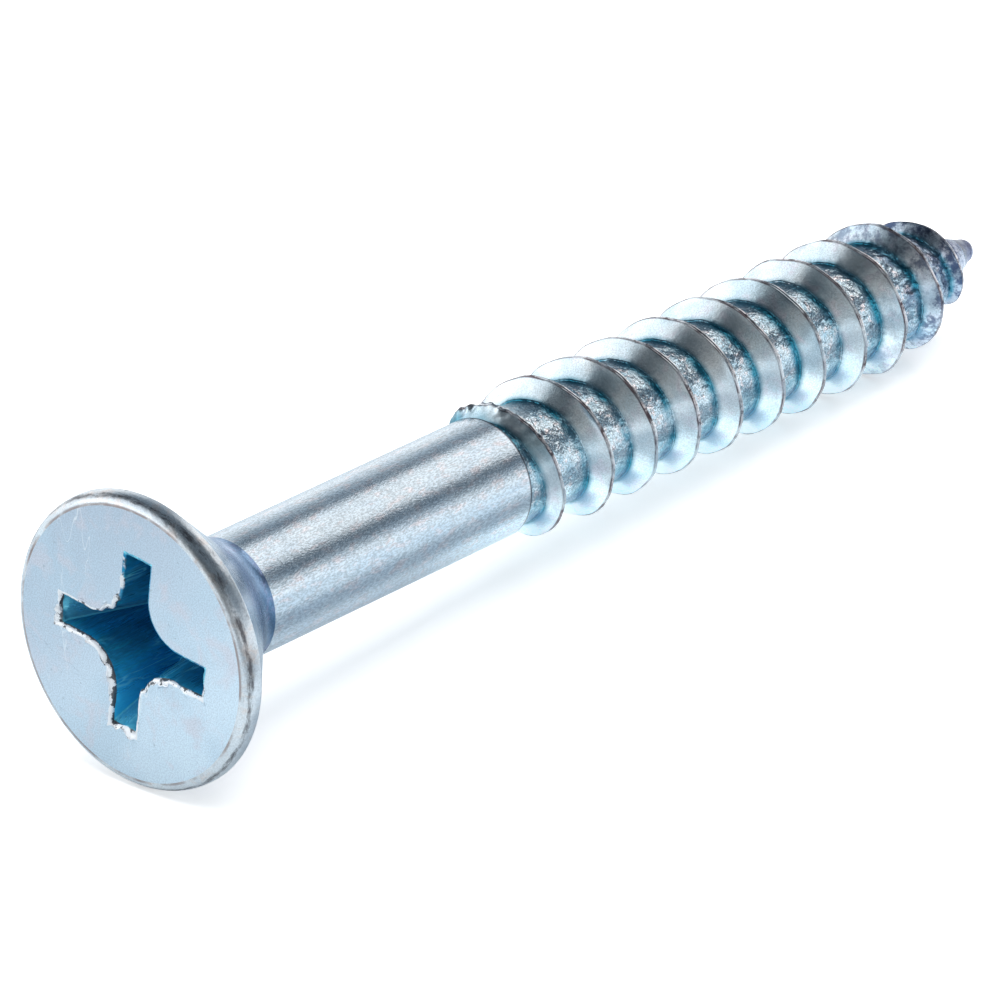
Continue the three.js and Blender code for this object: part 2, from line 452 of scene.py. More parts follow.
def raiseBurr(points, values):
    # the punch left a ragged, rolled edge, least so opposite its worst side. The edge wanders in
    # the face's plane and a thin lip stands up beside it. Returns the points and how rough the edge
    # is at each
    r = recessUser
    gap = values["edgeGap"]
    angle = np.arctan2(points[:, 2], points[:, 1])
    worst = 0.12 + 0.88 * smooth(np.cos(angle - math.radians(r["worstSide"])), -0.95, -0.2)
    band = smooth(gap, -0.5, -0.08) * (1 - smooth(gap, 0.0, 0.2))
    broad, fine = noisePair(points, r["tornWaves"], seeds["torn"])
    torn = broad + 0.6 * fine
    moved = points + outwardsFrom(points) * (r["ragged"] * worst * band * torn)[:, None]
    lip = smooth(gap, 0.0, 0.03) * (1 - smooth(gap, 0.06, 0.18))
    moved[:, 0] -= r["burrHeight"] * lip * worst * smooth(torn, 0.0, 1.4)
    rolled = smooth(gap, -0.25, -0.07) * (1 - smooth(gap, 0.0, 0.07))
    burr = worst * rolled * np.maximum(0.75 + 0.4 * torn, 0.5)
    return moved, np.clip(burr, 0, 1)


def makeMesh(name, points, faces, faceZone, values):
    # the arrays go into a mesh: each triangle's zone is its material slot, and each value of the
    # points becomes an attribute that the materials read
    mesh = bpy.data.meshes.new(name)
    mesh.vertices.add(len(points))
    mesh.vertices.foreach_set("co", (points * mm).astype(np.float32).ravel())
    mesh.loops.add(len(faces) * 3)
    mesh.loops.foreach_set("vertex_index", faces.astype(np.int32).ravel())
    mesh.polygons.add(len(faces))
    mesh.polygons.foreach_set("loop_start", np.arange(0, len(faces) * 3, 3, dtype=np.int32))
    mesh.polygons.foreach_set("material_index", faceZone.astype(np.int32))
    for key, value in values.items():
        attribute = mesh.attributes.new(key, "FLOAT", "POINT")
        attribute.data.foreach_set("value", value.astype(np.float32))
    mesh.update(calc_edges=True)
    mesh.validate()
    mesh.shade_smooth()
    mesh.set_sharp_from_angle(angle=math.radians(bodyUser["sharpAngle"]))
    return mesh


def signedVolume(points, faces):
    # sum of a . (b x c) / 6, above 0 when the triangles face outwards
    a, b, c = (points[faces[:, k]] for k in range(3))
    return np.einsum("ij,ij->i", a, np.cross(b, c)).sum() / 6


def makeScrew():
    # the surface is merged, turned outwards if need be, and worn
    points, faces, faceZone, values = mergeDoubles(*screwSurface())
    if signedVolume(points, faces) < 0:
        faces = faces[:, ::-1]
    points, values["burr"] = raiseBurr(roughen(points, values), values)
    mesh = makeMesh("screwBody", points, faces, faceZone, values)
    screw = bpy.data.objects.new("screwBody", mesh)
    bpy.context.scene.collection.objects.link(screw)
    volume = round(signedVolume(points, faces))
    print("screw:", len(points), "points", len(faces), "triangles", volume, "mm3")
    return screw


class Tree:
    # short ways to add nodes to a material or a node group, and to join them
    def __init__(self, tree):
        self.tree = tree
        self.axes = None

    def node(self, kind, **settings):
        made = self.tree.nodes.new(kind)
        for key, value in settings.items():
            setattr(made, key, value)
        return made

    def feed(self, socket, value):
        if isinstance(value, bpy.types.NodeSocket):
            self.tree.links.new(value, socket)
        else:
            socket.default_value = value

    def noise(self, vector, scale, detail=3, rough=0.55, distort=0.0):
        made = self.node("ShaderNodeTexNoise")
        self.feed(made.inputs["Vector"], vector)
        self.feed(made.inputs["Scale"], scale)
        self.feed(made.inputs["Detail"], detail)
        self.feed(made.inputs["Roughness"], rough)
        self.feed(made.inputs["Distortion"], distort)
        return made.outputs["Fac"]

    def mapRange(self, value, fromLow, fromHigh, toLow=0.0, toHigh=1.0, curve="SMOOTHSTEP"):
        made = self.node("ShaderNodeMapRange", interpolation_type=curve)
        for key, number in zip(("Value", "From Min", "From Max", "To Min", "To Max"),
                               (value, fromLow, fromHigh, toLow, toHigh)):
            self.feed(made.inputs[key], number)
        return made.outputs["Result"]

    def mix(self, factor, first, second):
        made = self.node("ShaderNodeMix", data_type="RGBA")
        self.feed(made.inputs["Factor"], factor)
        for key, colour in (("A", first), ("B", second)):
            fixed = not isinstance(colour, bpy.types.NodeSocket)
            self.feed(made.inputs[key], (*colour, 1) if fixed else colour)
        return made.outputs["Result"]

    def maths(self, operation, first, second=0.0):
        made = self.node("ShaderNodeMath", operation=operation)
        self.feed(made.inputs[0], first)
        self.feed(made.inputs[1], second)
        return made.outputs[0]

    def times(self, first, *others):
        for other in others:
            first = self.maths("MULTIPLY", first, other)
        return first

    def vectorMaths(self, operation, first, second=(0, 0, 0)):
        made = self.node("ShaderNodeVectorMath", operation=operation)
        self.feed(made.inputs[0], first)
        self.feed(made.inputs[1], second)
        return made.outputs

    def dot(self, first, second):
        return self.vectorMaths("DOT_PRODUCT", first, second)["Value"]

    def split(self, vector):
        made = self.node("ShaderNodeSeparateXYZ")
        self.feed(made.inputs[0], vector)
        return made.outputs

    def step(self, axis, start, end, low=0.0, high=1.0):
        # an S curve along one axis of the object. start and end are in millimetres
        if self.axes is None:
            self.axes = self.split(self.objectPlace())
        return self.mapRange(self.axes[axis], start * mm, end * mm, low, high)

    def ramp(self, value, stops):
        made = self.node("ShaderNodeValToRGB")
        self.feed(made.inputs["Fac"], value)
        elements = made.color_ramp.elements
        elements[0].position, elements[1].position = stops[0][0], stops[-1][0]
        for position, _ in stops[1:-1]:
            elements.new(position)
        for element, (_, colour) in zip(elements, stops):
            element.color = (*colour, 1)
        return made.outputs["Color"]

    def attribute(self, name):
        return self.node("ShaderNodeAttribute", attribute_name=name).outputs["Fac"]

    def objectPlace(self, stretch=(1, 1, 1), shift=(0, 0, 0)):
        place = self.node("ShaderNodeTexCoord").outputs["Object"]
        made = self.node("ShaderNodeMapping")
        self.feed(made.inputs["Vector"], place)
        made.inputs["Scale"].default_value = stretch
        made.inputs["Location"].default_value = shift
        return made.outputs["Vector"]

    def bump(self, height, strength, distance):
        made = self.node("ShaderNodeBump")
        self.feed(made.inputs["Height"], height)
        made.inputs["Strength"].default_value = strength
        made.inputs["Distance"].default_value = distance * mm
        return made.outputs["Normal"]


def newGroup(name, inputs, outputs):
    # a node group with named sockets. Returns its tree and its input and output nodes
    group = bpy.data.node_groups.new(name, "ShaderNodeTree")
    for key, (kind, value) in inputs.items():
        socket = group.interface.new_socket(key, in_out="INPUT", socket_type="NodeSocket" + kind)
        if value is not None:
            socket.default_value = value
    for key, kind in outputs.items():
        group.interface.new_socket(key, in_out="OUTPUT", socket_type="NodeSocket" + kind)
    tree = Tree(group)
    return tree, tree.node("NodeGroupInput").outputs, tree.node("NodeGroupOutput").inputs


frostScale = 19000.0  # the finest mottling of the zinc


def makeZincTint():
    # bright zinc is never one colour: broad clouds of blue, pink and straw patches inside them, and
    # a fine frost that makes it lighter and darker
    inputs = {
        "Vector": ("Vector", None), "Scale": ("Float", 500.0), "Base": ("Color", (0.6, 0.7, 0.8, 1)),
        "Cloud": ("Color", (0.5, 0.65, 0.85, 1)), "Warm": ("Color", (0.8, 0.7, 0.75, 1)),
        "Cloud Amount": ("Float", 0.5), "Warm Amount": ("Float", 0.3), "Frost": ("Float", 0.15),
    }
    tree, read, write = newGroup("zincTint", inputs, {"Color": "Color"})
    cloud = tree.mapRange(tree.noise(read["Vector"], read["Scale"], 4, 0.6), 0.38, 0.66)
    smaller = tree.times(read["Scale"], 2.7)
    warm = tree.mapRange(tree.noise(read["Vector"], smaller, 3, 0.6, 0.4), 0.5, 0.7)
    clouded = tree.mix(tree.times(cloud, read["Cloud Amount"]), read["Base"], read["Cloud"])
    warmed = tree.mix(tree.times(warm, read["Warm Amount"]), clouded, read["Warm"])
    frost = tree.mapRange(tree.noise(read["Vector"], frostScale, 2, 0.6), 0.36, 0.64, -1.0, 0.6)
    level = tree.maths("ADD", tree.times(frost, read["Frost"]), 1.0)
    frosted = tree.node("ShaderNodeVectorMath", operation="SCALE")
    tree.feed(frosted.inputs[0], warmed)
    tree.feed(frosted.inputs["Scale"], level)
    tree.feed(write["Color"], frosted.outputs[0])
    return tree.tree


def makeGrain():
    # a fine frosted grain with a coarser one under it, and a mask of its deepest pits
    inputs = {"Vector": ("Vector", None), "Scale": ("Float", 8000.0), "Coarse": ("Float", 0.4)}
    tree, read, write = newGroup("platingGrain", inputs, {"Height": "Float", "Pits": "Float"})
    fine = tree.noise(read["Vector"], read["Scale"], 2, 0.6)
    broad = tree.noise(read["Vector"], tree.times(read["Scale"], 0.28), 3, 0.55)
    broadest = tree.noise(read["Vector"], tree.times(read["Scale"], 0.2), 4, 0.7)
    tree.feed(write["Height"], tree.maths("ADD", fine, tree.times(broad, read["Coarse"])))
    tree.feed(write["Pits"], tree.mapRange(broadest, 0.62, 0.72))
    return tree.tree


def makeScratches():
    # long thin lines in one direction, broken up by a second noise
    inputs = {"Vector": ("Vector", None), "Scale": ("Float", 900.0), "Thin": ("Float", 0.02)}
    tree, read, write = newGroup("fineScratches", inputs, {"Mask": "Float"})
    line = tree.noise(read["Vector"], read["Scale"], 2, 0.5, 0.3)
    away = tree.maths("ABSOLUTE", tree.maths("SUBTRACT", line, 0.5))
    thin = tree.mapRange(away, 0.0, read["Thin"], 1.0, 0.0)
    broken = tree.noise(read["Vector"], tree.times(read["Scale"], 0.5), 2)
    tree.feed(write["Mask"], tree.times(thin, tree.mapRange(broken, 0.5, 0.62)))
    return tree.tree


def useGroup(tree, group, **values):
    # one use of a node group. An underscore in a name stands for a space
    made = tree.node("ShaderNodeGroup", node_tree=group)
    for key, value in values.items():
        tree.feed(made.inputs[key.replace("_", " ")], value)
    return made.outputs


def newMetal(name):
    material = bpy.data.materials.new(name)
    material.use_nodes = True
    shader = material.node_tree.nodes["Principled BSDF"]
    shader.inputs["Metallic"].default_value = 1
    return material, Tree(material.node_tree), shader.inputs


def tinted(tree, groups, look, vector, base=None):
    # the plating's colours. base takes the place of the look's own where it changes over the piece
    return useGroup(
        tree, groups["tint"], Vector=vector, Scale=look["scale"],
        Base=(*look["base"], 1) if base is None else base,
        Cloud=(*look["cloud"], 1), Cloud_Amount=look["cloudAmount"],
        Warm=(*look["warm"], 1), Warm_Amount=look["warmAmount"], Frost=look["frost"],
    )["Color"]


def grained(tree, groups, look, vector):
    return useGroup(tree, groups["grain"], Vector=vector, Scale=look["grain"], Coarse=look["coarse"])


def grainNormal(tree, look, height):
    return tree.bump(height, look["grainStrength"], look["grainDepth"])


def unevenRough(tree, look, vector):
    # roughness between the look's two values, in soft patches
    return tree.mapRange(tree.noise(vector, look["roughScale"]), 0.35, 0.65, *look["rough"])


def scratched(tree, groups, scratch, vector, colour):
    lines = useGroup(tree, groups["scratches"], Vector=vector, Scale=scratch["scale"], Thin=scratch["thin"])
    return tree.mix(tree.times(lines["Mask"], scratch["amount"]), colour, scratch["colour"])


shankLook = {
    "base": (0.6, 0.68, 0.74), "cloud": (0.52, 0.64, 0.76), "warm": (0.78, 0.69, 0.7),
    "scale": 1500.0, "cloudAmount": 0.35, "warmAmount": 0.6, "frost": 0.22,
    "scratch": {"scale": 2600.0, "thin": 0.03, "amount": 0.3, "colour": (0.86, 0.88, 0.9)},
    "pit": (0.3, 0.38, 0.46), "pitAmount": 0.2, "edge": (0.09, 0.1, 0.12),
    "rough": (0.2, 0.25), "roughScale": 1500.0,
    "grain": 19000.0, "coarse": 0.2, "grainStrength": 1.0, "grainDepth": 0.006,
}


def shankMaterial(groups):
    # drawn wire: clouds, grain and scratches are stretched along it, and a dark ring ends it
    u = shankLook
    material, tree, shader = newMetal("shankZinc")
    colour = tinted(tree, groups, u, tree.objectPlace((0.4, 1, 1)))
    fine = grained(tree, groups, u, tree.objectPlace((0.6, 1, 1)))
    colour = tree.mix(tree.times(fine["Pits"], u["pitAmount"]), colour, u["pit"])
    colour = scratched(tree, groups, u["scratch"], tree.objectPlace((0.06, 1, 1)), colour)
    end = bodyUser["shankEnd"]
    ring = tree.step("X", end - 0.12, end - 0.05, 0.0, 0.95)
    ring = tree.times(ring, tree.step("X", end - 0.03, end - 0.01, 1.0, 0.5))
    tree.feed(shader["Base Color"], tree.mix(ring, colour, u["edge"]))
    tree.feed(shader["Roughness"], unevenRough(tree, u, tree.objectPlace()))
    tree.feed(shader["Normal"], grainNormal(tree, u, fine["Height"]))
    return material


burrLook = {
    "bareAndGlint": (0.93, 0.94, 0.96), "hollow": (0.02, 0.025, 0.035), "hollowScale": 3200.0,
    # low metallic, so that the edge shows white as a painted glint
    "metallic": 0.35,
}


def tornEdge(tree, place, colour):
    # the rolled edge of the recess is bright metal, partly its own colour and partly a painted glint, with
    # black spots that are partly pits and partly painted shade, most of them on the side towards the recess
    # as painted shade. Returns the colour and where the edge is
    onEdge = tree.mapRange(tree.attribute("burr"), 0.3, 0.52)
    innerShade = tree.mapRange(tree.attribute("edgeGap"), -0.16, -0.03, 0.22, 0.0)
    pitsAndShade = tree.maths("ADD", tree.noise(place, burrLook["hollowScale"], 4, 0.65), innerShade)
    pitsAndShade = tree.times(tree.mapRange(pitsAndShade, 0.56, 0.61), 0.9)
    return tree.mix(onEdge, colour, tree.mix(pitsAndShade, burrLook["bareAndGlint"], burrLook["hollow"])), onEdge


faceLook = {
    "base": (0.53, 0.61, 0.7), "cloud": (0.56, 0.7, 0.8), "warm": (0.76, 0.67, 0.71),
    "scale": 300.0, "cloudAmount": 0.5, "warmAmount": 0.4, "frost": 0.12,
    "low": (0.76, 0.88, 0.97), "paintedLightSide": (0, -0.6, -0.8),
    "scratch": {"scale": 1100.0, "thin": 0.008, "amount": 0.6, "colour": (0.92, 0.94, 0.96)},
    "rub": {"scale": 1500.0, "thin": 0.006, "amount": 0.5, "colour": (0.35, 0.42, 0.5)},
    "dust": (0.35, 0.42, 0.48), "dustAmount": 0.55, "speck": (0.2, 0.12, 0.08),
    "rough": (0.34, 0.44), "roughScale": 700.0,
    "grain": 6000.0, "coarse": 0.8, "grainStrength": 0.8, "grainDepth": 0.007,
}


def faceMaterial(groups):
    # flat zinc, paler towards its lower front side as painted light, with bright scratches, faint dark
    # ones, dust and rust specks
    u = faceLook
    material, tree, shader = newMetal("faceZinc")
    place = tree.objectPlace()
    # painted light: the base colour turns paler towards the lower front side
    base = tree.mix(tree.mapRange(tree.dot(place, u["paintedLightSide"]), -4 * mm, 4.5 * mm), u["base"], u["low"])
    colour = tinted(tree, groups, u, place, base)
    colour = scratched(tree, groups, u["scratch"], tree.objectPlace((1, 1, 0.3)), colour)
    colour = scratched(tree, groups, u["rub"], tree.objectPlace((1, 0.25, 1), (0.01, 0, 0)), colour)
    dust = tree.mapRange(tree.noise(place, 3800.0, 2, 0.5), 0.7, 0.76)
    colour = tree.mix(tree.times(dust, u["dustAmount"]), colour, u["dust"])
    specks = tree.mapRange(tree.noise(place, 1500.0, 2, 0.5), 0.76, 0.79)
    colour, onEdge = tornEdge(tree, place, tree.mix(specks, colour, u["speck"]))
    fine = grained(tree, groups, u, place)
    tree.feed(shader["Base Color"], colour)
    tree.feed(shader["Metallic"], tree.mapRange(onEdge, 0.0, 1.0, 1.0, burrLook["metallic"]))
    tree.feed(shader["Roughness"], unevenRough(tree, u, place))
    tree.feed(shader["Normal"], grainNormal(tree, u, fine["Height"]))
    return material


rimLook = {
    "base": (0.8, 0.84, 0.87), "cloud": (0.6, 0.66, 0.72), "warm": (0.78, 0.7, 0.66),
    "scale": 700.0, "cloudAmount": 0.5, "warmAmount": 0.7, "frost": 0.12,
    "darkStreak": (0.09, 0.08, 0.09), "darkStreakAmount": 0.85, "darkStreakMiddle": 0.43,
    "edgeLine": (0.3, 0.21, 0.19), "edgeAmount": 0.75, "rough": (0.32, 0.42),
    "grain": 7000.0, "coarse": 0.6, "grainStrength": 1.0, "grainDepth": 0.01,
}


def rimMaterial(groups):
    # the rim: a broken brown line where it meets the face, then bright metal with dark streaks, most of
    # them half way down
    u = rimLook
    material, tree, shader = newMetal("rimZinc")
    place = tree.objectPlace()
    turn = tree.attribute("rimTurn")
    colour = tinted(tree, groups, u, place)
    across = tree.node("ShaderNodeCombineXYZ")
    tree.feed(across.inputs["X"], tree.times(turn, 1.2 * mm))
    streak = tree.vectorMaths("ADD", across.outputs[0], tree.objectPlace((0, 0.3, 0.3)))[0]
    away = tree.maths("ABSOLUTE", tree.maths("SUBTRACT", turn, u["darkStreakMiddle"]))
    nearMiddle = tree.mapRange(away, 0.02, 0.17, 0.17, 0.0)
    darkStreak = tree.maths("ADD", tree.noise(streak, 3400.0, 7, 0.78), nearMiddle)
    darkStreak = tree.mapRange(darkStreak, 0.54, 0.76)
    colour = tree.mix(tree.times(darkStreak, u["darkStreakAmount"]), colour, u["darkStreak"])
    line = tree.mapRange(turn, 0.06, 0.14, 1.0, 0.0)
    line = tree.times(line, tree.mapRange(tree.noise(place, 700.0), 0.38, 0.58), u["edgeAmount"])
    fine = grained(tree, groups, u, place)
    tree.feed(shader["Base Color"], tree.mix(line, colour, u["edgeLine"]))
    tree.feed(shader["Roughness"], tree.mapRange(darkStreak, 0.0, 1.0, *u["rough"]))
    tree.feed(shader["Normal"], grainNormal(tree, u, fine["Height"]))
    return material


neckLook = {
    "base": (0.3, 0.42, 0.6), "cloud": (0.1, 0.21, 0.36), "warm": (0.34, 0.31, 0.48),
    "scale": 500.0, "cloudAmount": 0.6, "warmAmount": 0.6, "frost": 0.2,
    "low": (0.09, 0.18, 0.3), "wide": (0.5, 0.58, 0.66),
    "rough": (0.2, 0.3), "roughScale": 1200.0,
    "grain": 8000.0, "coarse": 0.6, "grainStrength": 0.8, "grainDepth": 0.008,
}


def neckMaterial(groups):
    # blue zinc, darker low down as painted shade, and paler on the widest part of the cone
    u = neckLook
    material, tree, shader = newMetal("neckZinc")
    place = tree.objectPlace()
    # painted shade: the cone turns to the darker low colour towards its lower side
    base = tree.mix(tree.step("Z", -0.5, 2.4), u["low"], u["base"])
    colour = tinted(tree, groups, u, place, base)
    fine = grained(tree, groups, u, place)
    tree.feed(shader["Base Color"], tree.mix(tree.step("X", 1.4, 3, 0.8, 0.0), colour, u["wide"]))
    tree.feed(shader["Roughness"], unevenRough(tree, u, place))
    tree.feed(shader["Normal"], grainNormal(tree, u, fine["Height"]))
    return material


recessLook = {
    "base": (0.02, 0.25, 0.45), "cloud": (0.01, 0.36, 0.68), "warm": (0.02, 0.42, 0.56),
    "scale": 900.0, "cloudAmount": 0.9, "warmAmount": 0.7, "frost": 0.2,
    "scratch": {"scale": 3000.0, "thin": 0.05, "amount": 0.6, "colour": (0.3, 0.88, 1.0)},
    "lower": (0.08, 0.68, 1.0), "end": (0.13, 0.56, 0.74), "endLightAmount": 0.8,
    "corner": (0.3, 0.88, 1.0), "cornerHighlightAmount": 0.9,
    "rough": (0.26, 0.42), "roughScale": 2600.0, "metallic": 0.5,
    "grain": 4200.0, "grainStrength": 1.0, "grainDepth": 0.02,
}


def recessMaterial(groups):
    # deep blue, the finish's own colour deepened as painted shade, brighter low down and on the wings' ends
    # as painted light, with painted highlights along the wings' corners and punch marks that run into it
    u = recessLook
    material, tree, shader = newMetal("recessZinc")
    place = tree.objectPlace()
    punched = tree.objectPlace((0.12, 1, 1))
    colour = tinted(tree, groups, u, punched)
    # painted light: the recess is brighter low down
    colour = tree.mix(tree.step("Z", -2.7, -0.4, 0.9, 0.0), colour, u["lower"])
    # painted light: the wings' end walls are lighter than the side walls
    wingEnd = tree.mapRange(tree.attribute("wingEnd"), 0.2, 0.9)
    colour = tree.mix(tree.times(wingEnd, u["endLightAmount"]), colour, u["end"])
    colour = scratched(tree, groups, u["scratch"], punched, colour)
    # painted highlight: a bright line along each wing's corner
    corner = tree.mapRange(tree.attribute("cornerGap"), 0.0, 0.08, 1.0, 0.0)
    colour = tree.mix(tree.times(corner, u["cornerHighlightAmount"]), colour, u["corner"])
    colour, onEdge = tornEdge(tree, place, colour)
    tree.feed(shader["Base Color"], colour)
    tree.feed(shader["Metallic"], tree.mapRange(onEdge, 0.0, 1.0, u["metallic"], burrLook["metallic"]))
    tree.feed(shader["Roughness"], unevenRough(tree, u, punched))
    tree.feed(shader["Normal"], grainNormal(tree, u, tree.noise(punched, u["grain"], 3, 0.6)))
    return material


flankLook = {
    "base": (0.87, 0.93, 0.95), "cloud": (0.62, 0.79, 0.87), "warm": (0.86, 0.8, 0.87),
    "scale": 520.0, "cloudAmount": 0.75, "warmAmount": 0.6, "frost": 0.12,
}

rootLook = {
    "base": (0.66, 0.75, 0.8), "cloud": (0.4, 0.58, 0.68), "warm": (1.0, 0.84, 0.82),
    "scale": 1200.0, "cloudAmount": 0.8, "warmAmount": 0.8, "frost": 0.4,
    "pit": (0.04, 0.06, 0.09), "pitAmount": 0.85,
    "grain": 6500.0, "coarse": 1.3, "grainStrength": 1.0, "grainDepth": 0.03,
}

threadLook = {
    "footDyeAndShade": (0.03, 0.24, 0.34),  # dye in the feet of the flanks, deepened as painted shade
    "crestDark": (0.12, 0.09, 0.1), "crestHighlight": (0.82, 0.77, 0.78),
    "last": (0.4, 0.46, 0.62), "lastAmount": 0.4, "point": (0.28, 0.29, 0.38),
    "scorch": (0.05, 0.08, 0.17), "opening": (0.08, 0.24, 0.32),
    "undersideShade": (0.12, 0.25, 0.4), "undersideShadeSide": (0, -0.7, -0.7),
    "rough": (0.27, 0.2),  # on the flanks and on the root
    "flankGrain": 0.1,
}


def towardsPoint(tree, place, colour):
    # the last turns are greyer, then nearly as dark as the nub, and scorched in patches
    u = threadLook
    colour = tree.mix(tree.times(tree.step("X", 36.5, 41.5), u["lastAmount"]), colour, u["last"])
    colour = tree.mix(tree.step("X", 41.2, 42.8, 0.0, 0.85), colour, u["point"])
    patches = tree.mapRange(tree.noise(place, 1700.0, 6, 0.72), 0.42, 0.6)
    patches = tree.times(patches, tree.step("X", 35.5, 40.5, 0.06, 0.92))
    return tree.mix(patches, colour, u["scorch"])


def dyeAndPaintedShade(tree, uneven):
    # blue-green dye along the feet of the flanks, deepened as painted shade; broader before the next turn,
    # broadest low on the root as painted shade, and painted shade where the thread meets the shank
    ownFoot = tree.mapRange(tree.attribute("footGap"), 0.0, 0.16, 1.0, 0.0)
    beforeNext = tree.attribute("beforeNext")
    wide = tree.mapRange(beforeNext, 0.1, 0.5, 1.0, 0.0)
    beneath = tree.step("Z", -1.3, 0.6, 1.0, 0.0)
    shadeBelow = tree.times(beneath, tree.mapRange(beforeNext, 0.45, 1.15, 0.85, 0.0))
    wide = tree.maths("MAXIMUM", wide, shadeBelow)
    shadeAtShank = tree.times(tree.step("X", 17.52, 18, 1.0, 0.0), 0.9)
    dyeAndShade = tree.maths("MAXIMUM", tree.maths("MAXIMUM", ownFoot, wide), shadeAtShank)
    return tree.times(dyeAndShade, tree.mapRange(uneven, 0.3, 0.6, 0.45, 1.0))


def openingShade(tree, side):
    # the first turn's flank is dark over a band of its height on the side of the head
    shade = tree.mapRange(tree.attribute("turns"), 0.2, 0.5, 0.85, 0.0)
    shade = tree.times(shade, tree.step("Z", -1.4, 0.4), tree.step("Z", 1.2, 2.1, 1.0, 0.15))
    return tree.times(shade, tree.mapRange(side, -0.9, -0.5, 1.0, 0.0))


def crestColour(tree, place, side, uneven):
    # a dark line on the side of the head and a painted highlight beyond it, broken in patches and fainter
    # low down as painted shade
    outer = tree.maths("ADD", side, tree.mapRange(uneven, 0.3, 0.7, -0.5, 0.5))
    highlightPatches = tree.mapRange(tree.noise(place, 3200.0, 4, 0.7), 0.38, 0.56)
    highlightPatches = tree.times(highlightPatches, tree.step("Z", -1.8, -0.2, 0.15, 1.0))
    bright = tree.times(tree.mapRange(outer, -0.5, 0.1), highlightPatches)
    return tree.mix(bright, threadLook["crestDark"], threadLook["crestHighlight"])


def threadMaterial(groups):
    # smooth pale flanks, a rough root with pits, and the marks that the functions above give
    u = threadLook
    material, tree, shader = newMetal("threadZinc")
    place = tree.objectPlace()
    rise, side = tree.attribute("rise"), tree.attribute("side")
    uneven = tree.noise(place, 900.0)
    fine = grained(tree, groups, rootLook, place)
    root = tinted(tree, groups, rootLook, place)
    root = tree.mix(tree.times(fine["Pits"], rootLook["pitAmount"]), root, rootLook["pit"])
    isRoot = tree.mapRange(rise, 0.02, 0.1, 1.0, 0.0)
    colour = tree.mix(isRoot, tinted(tree, groups, flankLook, place), root)
    colour = towardsPoint(tree, place, colour)
    colour = tree.mix(dyeAndPaintedShade(tree, uneven), colour, u["footDyeAndShade"])
    colour = tree.mix(openingShade(tree, side), colour, u["opening"])
    # painted shade: a dark blue patch on the thread's lower front side, most on the root and low flanks
    outwards = tree.vectorMaths("NORMALIZE", tree.objectPlace((0, 1, 1)))[0]
    undersideShade = tree.mapRange(tree.dot(outwards, u["undersideShadeSide"]), 0.94, 0.995, 0.0, 0.7)
    colour = tree.mix(tree.times(undersideShade, tree.mapRange(rise, 0.9, 0.2)), colour, u["undersideShade"])
    # the crest's colours, a dark line and a painted highlight, laid on in patches
    rubbed = tree.mapRange(tree.noise(place, 1500.0, 4, 0.6), 0.4, 0.6, 0.45, 1.0)
    onCrest = tree.times(tree.mapRange(rise, 0.93, 0.99), rubbed)
    colour = tree.mix(onCrest, colour, crestColour(tree, place, side, uneven))
    height = tree.times(fine["Height"], tree.mapRange(isRoot, 0.0, 1.0, u["flankGrain"], 1.0))
    tree.feed(shader["Base Color"], colour)
    tree.feed(shader["Roughness"], tree.mapRange(isRoot, 0.0, 1.0, *u["rough"]))
    tree.feed(shader["Normal"], grainNormal(tree, rootLook, height))
    return material


nubLook = {
    "base": (0.26, 0.28, 0.34), "cloud": (0.15, 0.17, 0.28), "warm": (0.42, 0.34, 0.37),
    "scale": 1200.0, "cloudAmount": 0.9, "warmAmount": 0.6, "frost": 0.3,
    "rough": (0.3, 0.45), "roughScale": 2200.0,
    "grain": 6000.0, "coarse": 1.0, "grainStrength": 1.0, "grainDepth": 0.03,
}


def nubMaterial(groups):
    u = nubLook
    material, tree, shader = newMetal("nubZinc")
    place = tree.objectPlace()
    fine = grained(tree, groups, u, place)
    tree.feed(shader["Base Color"], tinted(tree, groups, u, place))
    tree.feed(shader["Roughness"], unevenRough(tree, u, place))
    tree.feed(shader["Normal"], grainNormal(tree, u, fine["Height"]))
    return material


def dressScrew(screw):
    # one material for each zone, in the order of the zones
    groups = {"tint": makeZincTint(), "grain": makeGrain(), "scratches": makeScratches()}
    makers = {
        "recess": recessMaterial, "face": faceMaterial, "rim": rimMaterial, "neck": neckMaterial,
        "shank": shankMaterial, "thread": threadMaterial, "nub": nubMaterial,
    }
    for zone in zones:
        screw.data.materials.append(makers[zone](groups))


stageUser = {
    "floorSeen": (0.93, 0.92, 0.91),
    # grey cards on the mirrored floor, from 0 at cardsStart to 1 at cardsEnd across the screw
    "floorMirrored": [
        (0.0, (0.66, 0.72, 0.76)), (0.24, (0.66, 0.72, 0.76)),
        (0.34, (0.46, 0.52, 0.56)), (0.43, (0.22, 0.27, 0.32)), (0.6, (0.22, 0.27, 0.32)),
        (0.69, (0.7, 0.76, 0.8)), (0.85, (0.75, 0.81, 0.84)), (1.0, (0.52, 0.57, 0.6)),
    ],
    "cardsStart": -16,
    "cardsEnd": 4,
    "floorFront": (0.52, 0.57, 0.6),
    "floorFar": (0.2, 0.22, 0.24),
    "floorMirroredGlow": (0.4, 0.433, 0.453),
    "floorGlow": (1.4, 1.6, 1.633),
    "floorSize": 3000,
    "rampStart": 0.5,
    "rampEnd": 37,
    "headGap": 0.02,
    "pointGap": 0.05,
    "shadowLift": 0.45,
}


